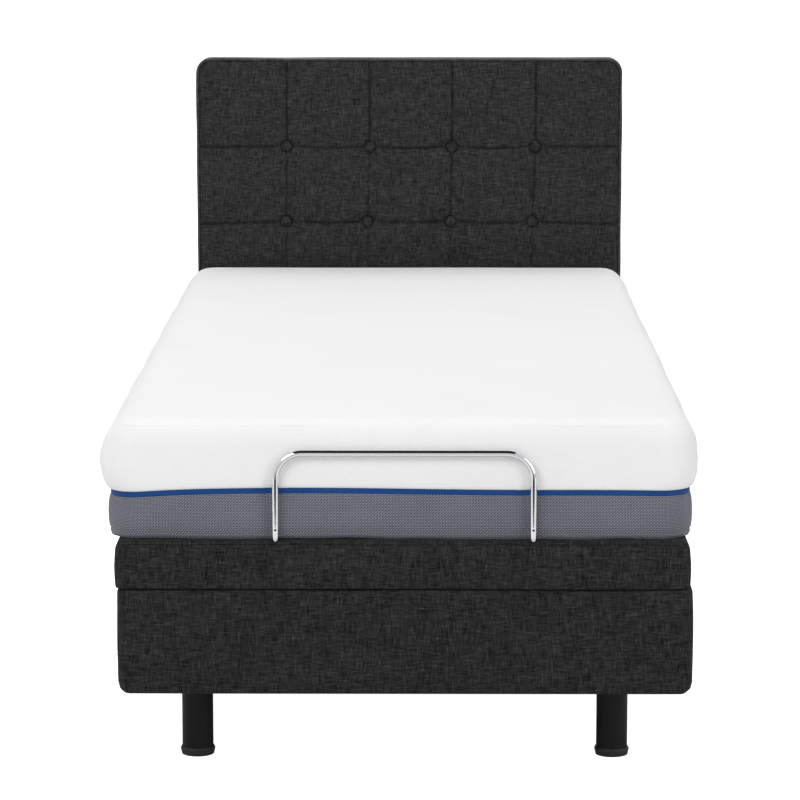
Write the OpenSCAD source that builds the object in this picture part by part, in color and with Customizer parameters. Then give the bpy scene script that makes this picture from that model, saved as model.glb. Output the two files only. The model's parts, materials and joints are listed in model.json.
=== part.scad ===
// Adjustable bed: a fixed upholstered base on four legs, a four-section deck whose back, thigh and
// calf sections are lifted by two linear actuators, a mattress with a retainer bar, and a headboard.
// Millimetres. +Z is up, the foot end faces -Y and the head end +Y. The origin is on the floor,
// under the middle of the bed's length and width.

/* [Bed] */
// Width of the base and of the deck
bed_w = 900; // [860:10:1000]
// Height of the surround's lower edge above the floor
leg_clear = 129; // [110:1:160]
// Height of the upholstered surround
surround_h = 167; // [160:1:200]
// Thickness of the surround's panels
panel_t = 38; // [25:1:45]
// Gap between the surround and the deck
deck_gap = 2; // [1:0.5:4]
// Height of the upholstered deck sections
deck_h = 79; // [74:1:95]

/* [Deck sections] */
// Length of the section under the calves
calf_l = 590; // [560:5:640]
// Length of the section under the thighs
thigh_l = 374; // [360:1:400]
// Length of the fixed section under the seat
seat_l = 250; // [240:1:280]
// Length of the section behind the back
back_l = 753; // [720:1:800]
// Gap between two neighbouring sections
section_gap = 6; // [5:0.5:8]
// Thickness of the plywood boards
board_t = 18; // [15:1:20]
// Width of the margin of padding around each board
board_margin = 12; // [10:1:20]
// Highest tilt of the back section
back_max = 60; // [40:1:60]
// Highest tilt of the thigh section
thigh_max = 35; // [25:1:35]

/* [Legs] */
// Diameter of the leg tubes
leg_d = 50; // [40:1:60]
// Wall of the leg tubes
leg_wall = 2; // [1.5:0.5:4]
// Distance from the bed's centre line to the legs
leg_x = 333; // [300:1:360]
// Distance from the end panels to the legs
leg_inset = 130; // [110:1:160]
// Diameter of the rubber foot caps
cap_d = 55; // [54:1:66]
// Height of the rubber foot caps
cap_h = 13; // [12:1:25]

/* [Mattress] */
// Width of the mattress
mattress_w = 920; // [880:5:1000]
// Height of the mattress
mattress_h = 185; // [150:5:200]
// Distance from the deck's foot end to the mattress
mattress_inset = 16; // [15:1:30]
// Distance from the deck's head end to the mattress
mattress_back_inset = 4; // [2:1:20]

/* [Retainer bar] */
// Diameter of the retainer bar
bar_d = 11; // [10:0.5:14]
// Width of the retainer bar, centre to centre
bar_w = 402; // [300:1:500]
// Height of the bar's top tube above the deck
bar_h = 135; // [100:1:150]
// Bend radius of the bar's upper corners
bar_bend = 42; // [30:1:60]
// Length of the bar's tails in the deck
bar_tail = 160; // [100:5:250]

/* [Headboard] */
// Width of the headboard
headboard_w = 900; // [860:10:1000]
// Height of the headboard's top edge above the floor
headboard_top = 998; // [900:1:1100]
// Height of the headboard's lower edge above the floor
headboard_low = 240; // [200:5:300]
// Thickness of the headboard's padding
headboard_pad_t = 42; // [30:1:60]
// Thickness of the headboard's board
headboard_board_t = 18; // [15:1:25]
// Corner radius of the headboard
headboard_r = 30; // [10:1:60]
// Gap between the head panel and the headboard
headboard_gap = 8; // [8:1:20]
// Diameter of the tufting buttons
button_d = 23; // [16:1:30]
// Distance between two columns of buttons
button_dx = 174; // [140:1:180]
// Distance between two rows of buttons
button_dz = 160; // [120:1:200]
// Distance from the top edge to the first row of buttons
button_top = 186; // [120:1:220]

/* [Steel frame] */
// Height of the cross members and of the frame rails
tube_h = 30; // [25:1:30]
// Width of the cross members
cross_w = 40; // [30:1:50]
// Side of the square tubes under the deck boards
rail_t = 25; // [20:1:28]
// Distance from the centre line to the tubes under the boards
rail_x = 250; // [220:5:255]
// Wall of the square tubes
tube_wall = 2; // [1.5:0.5:4]
// Thickness of the steel plates
plate_t = 6; // [5:0.5:6]

/* [Lifting gear] */
// Distance of each actuator from the centre line
drive_x = 110; // [100:5:120]
// Radius of the pin at the end of each actuator rod
pin_r = 6; // [5:0.5:7]
// Running clearance of pins and rods
running = 0.05; // [0.02:0.01:0.1]
// Room on each side of the rod pin in the back lever's slot
back_slot_play = 2.6; // [2.5:0.1:4]
// Room on each side of the rod pin in the thigh lever's slot
thigh_slot_play = 1.2; // [1:0.1:4]
// Distance from the back hinge to its rod pin
back_q = 160; // [155:1:165]
// Angle of the back lever at rest, from straight down towards the foot end
back_lever_angle = 38; // [36:1:40]
// Distance from the thigh hinge to its rod pin
thigh_q = 170; // [165:1:172]
// Angle of the thigh lever at rest, from straight down towards the head end
thigh_lever_angle = 20; // [18:1:22]

/* [Hidden] */
$fn = 64;

// Every piece of the part, by name; node picks one of them, or all

FABRIC = [0.20, 0.20, 0.22];
STEEL = [0.16, 0.16, 0.17];
BRIGHT = [0.80, 0.81, 0.83];
PLYWOOD = [0.76, 0.62, 0.44];
PLASTIC = [0.10, 0.10, 0.11];
WHITE = [0.93, 0.93, 0.94];

// Heights of the layers
panel_top = leg_clear + surround_h;
deck_low = panel_top + deck_gap;
deck_top = deck_low + deck_h;
board_top = deck_low + board_t;
plate_low = leg_clear + 4;
leg_plate_t = 4;
leg_plate_w = 90;
cap_floor = 5;
cap_lip = 4;
cross_low = plate_low + leg_plate_t;
cross_top = cross_low + tube_h;
rail_top = cross_top + tube_h;
under_rail = deck_low - rail_t;

// Hinge axes and section ends, measured from the foot end
knee_y = calf_l + section_gap / 2;
thigh_y = calf_l + section_gap + thigh_l + section_gap / 2;
back_y = thigh_y + section_gap + seat_l;
deck_end = back_y + section_gap / 2 + back_l;
hinge_z = deck_top - 16;
knee_z = deck_low + 2;
base_l = deck_end + 10;

bolt_head = 4;

// The bed's middle, so that the origin lies under the centre of the whole
headboard_y = base_l + headboard_gap;
headboard_back = headboard_y + headboard_pad_t + headboard_board_t;
y_mid = (headboard_back + plate_t + bolt_head) / 2;

// Mattress
mattress_low = deck_top + 0.5;
mattress_top = deck_top + mattress_h;
back_notch = back_max / 2 + 1;
thigh_notch = thigh_max / 2 + 1;

// Hinge hardware
hinge_r = 14;
hinge_pin_r = 5;
hinge_x = 400;
plate_gap = 0.5;
knee_r = 12;
knee_tail = 36;
knee_plate_t = 5;
knee_plate_l = 50;
knee_x = rail_x + rail_t / 2;

// Parallelogram that keeps the calf section level
link_offset = [-40, -110];
link_e = [thigh_y, hinge_z] + link_offset;
link_g = [knee_y, knee_z] + link_offset;
link_x = 298;
link_w = 24;
link_eye_r = 15;
link_side = 2;
stay_pin_r = 6;
stay_play = 0.5;

// Actuators: the rear pivots on the cross members and the rod pins at rest
eye_w = 20;
eye_r = 14;
back_pivot = [690, cross_top + 48];
leg_pivot = [1450, cross_top + 40];
back_pin = [back_y, hinge_z]
    + back_q * [-sin(back_lever_angle), -cos(back_lever_angle)];
thigh_pin = [thigh_y, hinge_z]
    + thigh_q * [sin(thigh_lever_angle), -cos(thigh_lever_angle)];
lever_gap = 24;
rod_eye_w = 22;
// The rod pins follow their arcs to within a few millimetres, so each slot sits a little aside
back_slot_shift = -2;
thigh_slot_shift = 0.4;
back_cross_y = back_y + 72;
thigh_cross_y = thigh_y - 52;

cross_ys = [leg_inset, back_pivot[0], leg_pivot[0], base_l - leg_inset];
leg_ys = [leg_inset, base_l - leg_inset];
control_size = [160, 110, 45];
control_x = -200;
inlet_size = [24, 16, 14];
inlet_z = cross_top + 22;
inlet_pin_x = 4.5;
inlet_pin_r = 1.2;

// ---- Helpers ----

// Moves a piece from foot-end coordinates into the bed's own frame
module placed() {
    translate([0, -y_mid, 0]) children();
}

// Draws its children once on each side of the centre line
module both_sides() {
    children();
    mirror([1, 0, 0]) children();
}

// A plate whose outline is drawn in Y and Z, standing from x over a thickness
module yz_plate(x, t) {
    translate([x, 0, 0]) rotate([90, 0, 90]) linear_extrude(t) children();
}

// A rod along X
module x_rod(p, r, x0, x1) {
    translate([x0, p[0], p[1]]) rotate([0, 90, 0]) cylinder(r = r, h = x1 - x0);
}

// A rectangle with rounded corners, in the drawing plane
module round_rect(w, h, r) {
    translate([-w / 2 + r, -h / 2]) square([w - 2 * r, h]);
    translate([-w / 2, -h / 2 + r]) square([w, h - 2 * r]);
    for (sx = [-1, 1], sy = [-1, 1])
        translate([sx * (w / 2 - r), sy * (h / 2 - r)]) circle(r);
}

// A rectangular tube, open at both ends along one axis (0, 1 or 2 for X, Y or Z)
module box_tube(size, along) {
    bore = [for (i = [0:2]) i == along ? size[i] + 2 : size[i] - 2 * tube_wall];
    start = [for (i = [0:2]) i == along ? -1 : tube_wall];
    difference() {
        cube(size);
        translate(start) cube(bore);
    }
}

// Outline of a strap that runs from an eye to a straight foot
module strap(eye, r, y0, y1, z) {
    translate(eye) circle(r);
    polygon([[eye[0] - r * 0.94, eye[1]], [eye[0] + r * 0.94, eye[1]], [y1, z], [y0, z]]);
}

// ---- Legs and base frame ----

module leg(side, y) {
    translate([side * leg_x, y, cap_floor]) difference() {
        cylinder(d = leg_d, h = plate_low - cap_floor);
        translate([0, 0, -1]) cylinder(d = leg_d - 2 * leg_wall, h = plate_low);
    }
}

module leg_foot_left() { color(STEEL) placed() leg(-1, leg_ys[0]); }
module leg_foot_right() { color(STEEL) placed() leg(1, leg_ys[0]); }
module leg_head_left() { color(STEEL) placed() leg(-1, leg_ys[1]); }
module leg_head_right() { color(STEEL) placed() leg(1, leg_ys[1]); }

module at_legs() {
    for (y = leg_ys, side = [-1, 1])
        translate([side * leg_x, y, 0]) children();
}

module leg_caps() {
    color(PLASTIC) placed() at_legs() difference() {
        union() {
            cylinder(d1 = cap_d - 3, d2 = cap_d + 1, h = cap_h - cap_lip);
            translate([0, 0, cap_h - cap_lip])
                cylinder(d1 = cap_d + 1, d2 = leg_d + 2, h = cap_lip);
        }
        translate([0, 0, cap_floor]) difference() {
            cylinder(d = leg_d + 2 * running, h = cap_h);
            cylinder(d = leg_d - 2 * leg_wall - 2 * running, h = cap_h - 8);
        }
    }
}

leg_bolt_at = [34, 12];
leg_bolt_r = 4;

module leg_plates() {
    color(STEEL) placed() at_legs() difference() {
        translate([-leg_plate_w / 2, -leg_plate_w / 2, plate_low])
            cube([leg_plate_w, leg_plate_w, leg_plate_t]);
        for (sx = [-1, 1], sy = [-1, 1])
            translate([sx * leg_bolt_at[0], sy * leg_bolt_at[1], plate_low - 1])
                cylinder(r = leg_bolt_r + 0.1, h = leg_plate_t + 2);
    }
}

module leg_bolts() {
    color(BRIGHT) placed() at_legs()
        for (sx = [-1, 1], sy = [-1, 1])
            translate([sx * leg_bolt_at[0], sy * leg_bolt_at[1], plate_low - bolt_head]) {
                cylinder(r = 6.5, h = bolt_head);
                cylinder(r = leg_bolt_r, h = bolt_head + leg_plate_t);
            }
}

module cross_member(y) {
    inner = bed_w / 2 - panel_t;
    color(STEEL) placed() translate([-inner, y - cross_w / 2, cross_low])
        box_tube([2 * inner, cross_w, tube_h], 0);
}

module cross_member_foot() { cross_member(cross_ys[0]); }
module cross_member_thigh() { cross_member(cross_ys[1]); }
module cross_member_back() { cross_member(cross_ys[2]); }
module cross_member_head() { cross_member(cross_ys[3]); }

module frame_rail(side) {
    color(STEEL) placed() translate([side * leg_x - tube_h / 2, panel_t, cross_top])
        box_tube([tube_h, base_l - 2 * panel_t, tube_h], 1);
}

module frame_rail_left() { frame_rail(-1); }
module frame_rail_right() { frame_rail(1); }

// ---- Surround ----

corner_r = 14;

// End panel with rounded outer corners; its outer face is at y = 0
module end_panel() {
    translate([0, 0, leg_clear]) linear_extrude(surround_h) intersection() {
        translate([0, bed_w / 2]) round_rect(bed_w, bed_w, corner_r);
        translate([-bed_w / 2, 0]) square([bed_w, panel_t]);
    }
}

module side_panel(side) {
    x = side > 0 ? bed_w / 2 - panel_t : -bed_w / 2;
    color(FABRIC) placed() translate([x, panel_t, leg_clear])
        cube([panel_t, base_l - 2 * panel_t, surround_h]);
}

module foot_panel() { color(FABRIC) placed() end_panel(); }
module head_panel() {
    color(FABRIC) placed() translate([0, base_l, 0]) mirror([0, 1, 0]) end_panel();
}
module left_panel() { side_panel(-1); }
module right_panel() { side_panel(1); }

// ---- Deck sections ----

board_x = bed_w / 2 - board_margin;
slot_x0 = hinge_x - 8;
slot_x1 = hinge_x + plate_t + 9;
slot_l = 58;

// A plywood board under one section, notched where knee plates pass
module board(y0, y1) {
    color(PLYWOOD) placed() difference() {
        translate([-board_x, y0 + board_margin, deck_low])
            cube([2 * board_x, y1 - y0 - 2 * board_margin, board_t]);
        knee_notches(board_t + 2);
    }
}

// Notches around the knee plates, which reach up between the calf and thigh sections
module knee_notches(h) {
    both_sides() translate([knee_x - 2, knee_y - knee_tail, deck_low - 1])
        cube([18, 2 * knee_tail, h]);
}

// The padding of one section. Its top edges slope back beside a hinge that folds upwards.
module pad(y0, y1, low_bevel = 0, high_bevel = 0) {
    bevel_h = deck_top - hinge_z;
    b0 = bevel_h * tan(low_bevel);
    b1 = bevel_h * tan(high_bevel);
    difference() {
        yz_plate(-bed_w / 2, bed_w) polygon([
            [y0, deck_low], [y1, deck_low], [y1, hinge_z], [y1 - b1, deck_top],
            [y0 + b0, deck_top], [y0, hinge_z]
        ]);
        translate([-board_x, y0 + board_margin, deck_low - 1])
            cube([2 * board_x, y1 - y0 - 2 * board_margin, board_t + 1]);
    }
}

// Slots in a pad for the hinge plates at one axis; side is +1 for a pad towards the head end
module hinge_slots(y, side) {
    both_sides() translate([slot_x0, side > 0 ? y - 1 : y + 1 - slot_l, deck_low - 1])
        cube([slot_x1 - slot_x0, slot_l, deck_h + 2]);
}

// Rounds the two free corners at one end of a pad
module corner_cut(y, direction) {
    both_sides() translate([bed_w / 2, y, deck_low - 1]) mirror([0, direction < 0 ? 1 : 0, 0])
        linear_extrude(deck_h + 2) difference() {
            translate([-corner_r, -1]) square([corner_r + 1, corner_r + 1]);
            translate([-corner_r, corner_r]) circle(corner_r);
        }
}

seat_y0 = thigh_y + section_gap / 2;
seat_y1 = back_y - section_gap / 2;
back_y0 = back_y + section_gap / 2;
thigh_y0 = knee_y + section_gap / 2;
thigh_y1 = thigh_y - section_gap / 2;

module seat_board() {
    board(seat_y0, seat_y1);
}
module seat_pad() {
    color(FABRIC) placed() difference() {
        pad(seat_y0, seat_y1, thigh_notch, back_notch);
        hinge_slots(thigh_y, 1);
        hinge_slots(back_y, -1);
    }
}
module back_board() {
    board(back_y0, deck_end);
}
module back_pad() {
    color(FABRIC) placed() difference() {
        pad(back_y0, deck_end, back_notch, 0);
        hinge_slots(back_y, 1);
        corner_cut(deck_end, -1);
    }
}
module thigh_board() {
    board(thigh_y0, thigh_y1);
}
module thigh_pad() {
    color(FABRIC) placed() difference() {
        pad(thigh_y0, thigh_y1, 0, thigh_notch);
        hinge_slots(thigh_y, -1);
        knee_notches(board_t + 1);
    }
}
module calf_board() {
    board(0, calf_l);
}
module calf_pad() {
    color(FABRIC) placed() difference() {
        pad(0, calf_l);
        corner_cut(0, 1);
        knee_notches(board_t + 1);
        both_sides() translate([bar_w / 2, 0, 0]) bar_groove();
    }
}

// Groove in the calf pad for one tail of the retainer bar
module bar_groove() {
    w = bar_d + 1;
    translate([-w / 2, bar_y - w / 2, bar_low - w / 2])
        cube([w, bar_tail + w / 2 + 2, deck_top - bar_low + w]);
}

// ---- Tubes under the deck ----

// Two square tubes under one section
module rails(y0, y1) {
    color(STEEL) placed() both_sides()
        translate([rail_x - rail_t / 2, y0, under_rail]) box_tube([rail_t, y1 - y0, rail_t], 1);
}

module seat_rails() { rails(seat_y0 + 10, seat_y1 - 10); }
module back_rails() { rails(back_y + 33, deck_end - 40); }
module thigh_rails() { rails(knee_y + 32, thigh_y - 24); }
module calf_rails() { rails(60, knee_y - 32); }

// Four posts that carry the fixed seat section on the frame rails
module seat_posts() {
    color(STEEL) placed() both_sides()
        for (y = [seat_y0 + 40, seat_y1 - 40])
            translate([leg_x - rail_t / 2, y - rail_t / 2, rail_top])
                box_tube([rail_t, rail_t, deck_low - rail_top], 2);
}

// ---- Hinges of the deck ----

strap_foot = [8, 50];

// One hinge plate standing on a board; side is +1 when the board lies towards the head end
module hinge_plate(y, side, x, hole_r) {
    a = y + side * strap_foot[0];
    b = y + side * strap_foot[1];
    yz_plate(x, plate_t) difference() {
        strap([y, hinge_z], hinge_r, min(a, b), max(a, b), board_top);
        translate([y, hinge_z]) circle(hole_r);
    }
}

module hinge_brackets() {
    color(STEEL) placed() both_sides() {
        hinge_plate(back_y, -1, hinge_x, hinge_pin_r + 0.02);
        hinge_plate(thigh_y, 1, hinge_x, hinge_pin_r + 0.02);
    }
}
module hinge_pins() {
    color(BRIGHT) placed() both_sides() for (y = [back_y, thigh_y])
        x_rod([y, hinge_z], hinge_pin_r, hinge_x - 3, hinge_x + 2 * plate_t + 2);
}
module back_hinge_plates() {
    color(STEEL) placed() both_sides()
        hinge_plate(back_y, 1, hinge_x + plate_t + plate_gap, hinge_pin_r + running);
}
module thigh_hinge_plates() {
    color(STEEL) placed() both_sides()
        hinge_plate(thigh_y, -1, hinge_x + plate_t + plate_gap, hinge_pin_r + running);
}

// One plate of the knee hinge, bolted to the side of a tube; side is +1 on the thigh section
module knee_plate(side, x) {
    tail = [knee_y + side * knee_tail, knee_y + side * (knee_tail + knee_plate_l)];
    yz_plate(x, knee_plate_t) {
        translate([knee_y, knee_z]) circle(knee_r);
        polygon([
            [knee_y, knee_z - knee_r * 0.97], [knee_y, knee_z + knee_r * 0.97],
            [tail[0], under_rail + rail_t - 1], [tail[0], under_rail + 3]
        ]);
        translate([min(tail), under_rail + 3]) square([knee_plate_l, rail_t - 4]);
    }
}

// The knee pins are welded into the thigh section's plates
module thigh_knee_plates() {
    color(STEEL) placed() both_sides() {
        knee_plate(1, knee_x);
        x_rod([knee_y, knee_z], hinge_pin_r, knee_x, knee_x + 12);
    }
}
module calf_knee_plates() {
    color(STEEL) placed() both_sides() difference() {
        union() {
            knee_plate(-1, knee_x + knee_plate_t + plate_gap);
            translate([knee_x, knee_y - knee_tail - knee_plate_l, under_rail + 3])
                cube([knee_plate_t + plate_gap, knee_plate_l, rail_t - 4]);
        }
        x_rod([knee_y, knee_z], hinge_pin_r + running, knee_x - 1, knee_x + 14);
    }
}

// ---- Parallelogram links ----

bracket_x = link_x + plate_t + link_side;

module stay_brackets() {
    color(STEEL) placed() both_sides() {
        yz_plate(bracket_x, leg_x - tube_h / 2 - bracket_x)
            strap(link_e, link_eye_r + 1, link_e[0] - 30, link_e[0] + 30, cross_top + 2);
        x_rod(link_e, stay_pin_r, link_x - 3, bracket_x + 1);
    }
}
module stay_links() {
    along = link_g - link_e;
    length = norm(along);
    color(STEEL) placed() both_sides() difference() {
        yz_plate(link_x, plate_t) difference() {
            translate(link_e) rotate(atan2(along[1], along[0])) {
                translate([0, -link_w / 2]) square([length, link_w]);
                circle(link_eye_r);
                translate([length, 0]) circle(link_eye_r);
            }
            translate(link_e) circle(stay_pin_r + running);
            translate(link_g) circle(stay_pin_r + stay_play);
        }
    }
}
module link_brackets() {
    color(STEEL) placed() both_sides() {
        yz_plate(bracket_x, plate_t)
            strap(link_g, link_eye_r, link_g[0] - 25, link_g[0] + 30, deck_low);
        x_rod(link_g, stay_pin_r, link_x - 3, bracket_x + 1);
    }
}

// ---- Levers and actuators ----

lever_rim = 10;

// Outline of a lever: a radial slot for the rod pin, joined to the cross tube
module lever_outline(axis, angle, start, length, shift, play, tube) {
    difference() {
        union() {
            translate(axis) rotate(angle - 90) translate([start, shift])
                long_hole(length, pin_r + play + lever_rim);
            polygon(tube);
        }
        translate(axis) rotate(angle - 90) translate([start, shift])
            long_hole(length, pin_r + play);
    }
}

// A strip with round ends, from the drawing's origin along +X
module long_hole(l, r) {
    translate([0, -r]) square([l, 2 * r]);
    circle(r);
    translate([l, 0]) circle(r);
}

// A cross tube between the two tubes of a section
module deck_cross_tube(y) {
    inner = rail_x - rail_t / 2;
    translate([-inner, y - rail_t / 2, under_rail]) box_tube([2 * inner, rail_t, rail_t], 0);
}

module back_lever() {
    color(STEEL) placed() {
        deck_cross_tube(back_cross_y);
        for (x = [-drive_x - lever_gap / 2 - plate_t, -drive_x + lever_gap / 2])
            yz_plate(x, plate_t)
                lever_outline([back_y, hinge_z], -back_lever_angle, back_q - 26, 30,
                              back_slot_shift, back_slot_play, [
                    [back_cross_y - rail_t / 2, under_rail + rail_t - 2],
                    [back_cross_y + rail_t / 2, under_rail],
                    [back_pin[0] + 10, back_pin[1] - 24], [back_pin[0] + 22, back_pin[1] + 30]
                ]);
    }
}
module thigh_lever() {
    color(STEEL) placed() {
        deck_cross_tube(thigh_cross_y);
        for (x = [drive_x - lever_gap / 2 - plate_t, drive_x + lever_gap / 2])
            yz_plate(x, plate_t)
                lever_outline([thigh_y, hinge_z], thigh_lever_angle, thigh_q - 12, 16,
                              thigh_slot_shift, thigh_slot_play, [
                    [thigh_cross_y + rail_t / 2, under_rail + rail_t - 2],
                    [thigh_cross_y - rail_t / 2, under_rail],
                    [thigh_pin[0] - 22, thigh_pin[1] - 10], [thigh_pin[0] - 4, thigh_pin[1] + 24]
                ]);
    }
}

// Puts its children at an actuator's rear pivot, with +Y along the actuator towards its rod pin
module along_actuator(x, pivot, pin) {
    d = pin - pivot;
    translate([x, pivot[0], pivot[1]]) rotate([atan2(d[1], d[0]), 0, 0]) children();
}

gear_w = 64;
gear_h = 54;
gear_start = 22;
motor_r = 28;
motor_l = 92;
motor_at = 68;
motor_cap = [20, 8];
tube_start = 112;

// Rear eye, gearbox and motor; the motor points towards the centre line
module drive_housing() {
    difference() {
        union() {
            rotate([0, 90, 0]) translate([0, 0, -eye_w / 2]) cylinder(r = eye_r, h = eye_w);
            translate([-eye_w / 2, 0, -eye_w / 2]) cube([eye_w, gear_start + 2, eye_w]);
            translate([-gear_w / 2, gear_start, -gear_h / 2])
                cube([gear_w, tube_start - gear_start, gear_h]);
            translate([gear_w / 2, motor_at, 0]) rotate([0, 90, 0]) {
                cylinder(r = motor_r, h = motor_l);
                cylinder(r = motor_cap[0], h = motor_l + motor_cap[1]);
            }
        }
        rotate([0, 90, 0]) translate([0, 0, -eye_w]) cylinder(r = pin_r + running, h = 2 * eye_w);
    }
}

rod_r = 10;
outer_r = 17;
inner_r = 14;
mouth_l = 15;
mouth_r = 19;
tube_floor = 4;
// How far the rod pin stands out of the outer tube at rest
rod_out = 45;
// How far into the outer tube each rod reaches from its start
back_rod_start = tube_start + 20;
leg_rod_start = tube_start + 60;

// Outer tube of an actuator, with a guide bush in its mouth
module drive_tube(l) {
    translate([0, tube_start, 0]) rotate([-90, 0, 0]) difference() {
        union() {
            cylinder(r = outer_r, h = l);
            translate([0, 0, l - mouth_l]) cylinder(r = mouth_r, h = mouth_l);
        }
        translate([0, 0, tube_floor]) cylinder(r = inner_r, h = l - tube_floor - mouth_l);
        translate([0, 0, tube_floor + 1]) cylinder(r = rod_r + running, h = l);
    }
}

// Inner rod with its eye and pin
module drive_rod(start, pin_at) {
    translate([0, start, 0]) rotate([-90, 0, 0]) cylinder(r = rod_r, h = pin_at - start);
    rotate([0, 90, 0]) {
        translate([0, pin_at, -rod_eye_w / 2]) cylinder(r = eye_r, h = rod_eye_w);
        translate([0, pin_at, -rod_eye_w]) cylinder(r = pin_r, h = 2 * rod_eye_w);
    }
}

back_reach = norm(back_pin - back_pivot);
leg_reach = norm(thigh_pin - leg_pivot);
back_tube_l = back_reach - tube_start - rod_out;
leg_tube_l = leg_reach - tube_start - rod_out;

module back_motor() {
    color(PLASTIC) placed() along_actuator(-drive_x, back_pivot, back_pin) drive_housing();
}
module back_motor_tube() {
    color(PLASTIC) placed() along_actuator(-drive_x, back_pivot, back_pin) drive_tube(back_tube_l);
}
module back_rod() {
    color(BRIGHT) placed() along_actuator(-drive_x, back_pivot, back_pin)
        drive_rod(back_rod_start, back_reach);
}

// The leg actuator points towards the foot end, so it is drawn turned about the vertical
module toward_foot() {
    d = thigh_pin - leg_pivot;
    translate([drive_x, leg_pivot[0], leg_pivot[1]]) rotate([0, 0, 180])
        rotate([atan2(d[1], -d[0]), 0, 0]) children();
}
module leg_motor() {
    color(PLASTIC) placed() toward_foot() drive_housing();
}
module leg_motor_tube() {
    color(PLASTIC) placed() toward_foot() drive_tube(leg_tube_l);
}
module leg_rod() {
    color(BRIGHT) placed() toward_foot() drive_rod(leg_rod_start, leg_reach);
}

// Clevis plates on the cross members
module actuator_brackets() {
    color(STEEL) placed()
        for (b = [[-drive_x, back_pivot], [drive_x, leg_pivot]])
            for (x = [b[0] - eye_w / 2 - 1 - plate_t, b[0] + eye_w / 2 + 1])
                yz_plate(x, plate_t) difference() {
                    strap(b[1], eye_r, b[1][0] - 18, b[1][0] + 18, cross_top);
                    translate(b[1]) circle(pin_r + 0.02);
                }
}
module bracket_pins() {
    color(BRIGHT) placed() {
        x_rod(back_pivot, pin_r, -drive_x - eye_w, -drive_x + eye_w);
        x_rod(leg_pivot, pin_r, drive_x - eye_w, drive_x + eye_w);
    }
}

// Control box on the cross member, with its mains inlet facing the head end
module control_box() {
    y0 = cross_ys[2] - control_size[1] / 2;
    inlet_x = control_x + control_size[0] / 2;
    color(PLASTIC) placed() {
        difference() {
            translate([control_x, y0, cross_top]) cube(control_size);
            translate([inlet_x - inlet_size[0] / 2, y0 + control_size[1] - inlet_size[2],
                       inlet_z - inlet_size[1] / 2])
                cube([inlet_size[0], inlet_size[2] + 1, inlet_size[1]]);
        }
        for (side = [-1, 1])
            translate([inlet_x + side * inlet_pin_x, y0 + control_size[1] - 5, inlet_z])
                rotate([90, 0, 0]) cylinder(r = inlet_pin_r, h = inlet_size[2] - 4);
    }
}

// ---- Retainer bar ----

bar_y = bar_d / 2 + 2;
bar_low = deck_top - bar_d / 2 - 1;
elbow_r = 12;

// A quarter bend, drawn in the plane it lies in from +X to +Y
module bend(r) {
    rotate_extrude(angle = 90) translate([r, 0]) circle(d = bar_d);
}

// U-shaped bar that stops the mattress from sliding, with two tails lying in the calf pad
module retainer_bar() {
    z_top = deck_top + bar_h;
    half = bar_w / 2;
    leg_top = z_top - bar_bend;
    color(BRIGHT) placed() {
        translate([-half + bar_bend, bar_y, z_top]) rotate([0, 90, 0])
            cylinder(d = bar_d, h = bar_w - 2 * bar_bend);
        for (side = [0, 1]) mirror([side, 0, 0]) {
            translate([half - bar_bend, bar_y, leg_top]) rotate([90, 0, 0]) bend(bar_bend);
            translate([half, bar_y, bar_low + elbow_r])
                cylinder(d = bar_d, h = leg_top - bar_low - elbow_r);
            translate([half, bar_y + elbow_r, bar_low + elbow_r]) rotate([90, 0, 90])
                rotate([0, 0, 180]) bend(elbow_r);
            translate([half, bar_y + elbow_r, bar_low]) rotate([-90, 0, 0])
                cylinder(d = bar_d, h = bar_tail - elbow_r);
        }
    }
}

// ---- Mattress ----

// One part of the mattress. Its ends slope away from the hinge axes beside it.
module mattress_part(y0, y1, low_notch = 0, high_notch = 0) {
    lower = mattress_low - hinge_z;
    upper = mattress_top - hinge_z;
    color(WHITE) placed() yz_plate(-mattress_w / 2, mattress_w) polygon([
        [y0 + lower * tan(low_notch), mattress_low], [y1 - lower * tan(high_notch), mattress_low],
        [y1 - upper * tan(high_notch), mattress_top], [y0 + upper * tan(low_notch), mattress_top]
    ]);
}

module mattress_calf() { mattress_part(mattress_inset, knee_y - 2); }
module mattress_thigh() { mattress_part(knee_y + 2, thigh_y, 0, thigh_notch); }
module mattress_seat() { mattress_part(thigh_y, back_y, thigh_notch, back_notch); }
module mattress_back() { mattress_part(back_y, deck_end - mattress_back_inset, back_notch, 0); }

// ---- Headboard ----

// Headboard outline, extruded towards the head end from a given face
module headboard_slab(y, t) {
    h = headboard_top - headboard_low;
    translate([0, y + t, headboard_low + h / 2]) rotate([90, 0, 0])
        linear_extrude(t) round_rect(headboard_w, h, headboard_r);
}

module at_buttons() {
    for (row = [0, 1], column = [-1.5, -0.5, 0.5, 1.5])
        translate([column * button_dx, headboard_y, headboard_top - button_top - row * button_dz])
            rotate([-90, 0, 0]) children();
}

button_sink = 9;
button_t = 6;
button_dome = 17;

module headboard_pad() {
    color(FABRIC) placed() difference() {
        headboard_slab(headboard_y, headboard_pad_t);
        at_buttons() translate([0, 0, -1]) cylinder(d = button_d + 5, h = button_sink + 1);
    }
}
module headboard_board() {
    color(PLYWOOD) placed() headboard_slab(headboard_y + headboard_pad_t, headboard_board_t);
}
module headboard_buttons() {
    color(FABRIC) placed() at_buttons() translate([0, 0, button_sink - button_t]) intersection() {
        cylinder(d = button_d, h = button_t);
        translate([0, 0, button_dome - 1]) sphere(r = button_dome);
    }
}

strut_w = 60;
strut_x = 230;
strut_low = leg_clear + 20;
strut_top = headboard_low + 380;
spacer_h = 70;
strut_bolt_zs = [strut_low + 20, strut_low + 50, headboard_low + 60, strut_top - 40];

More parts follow.
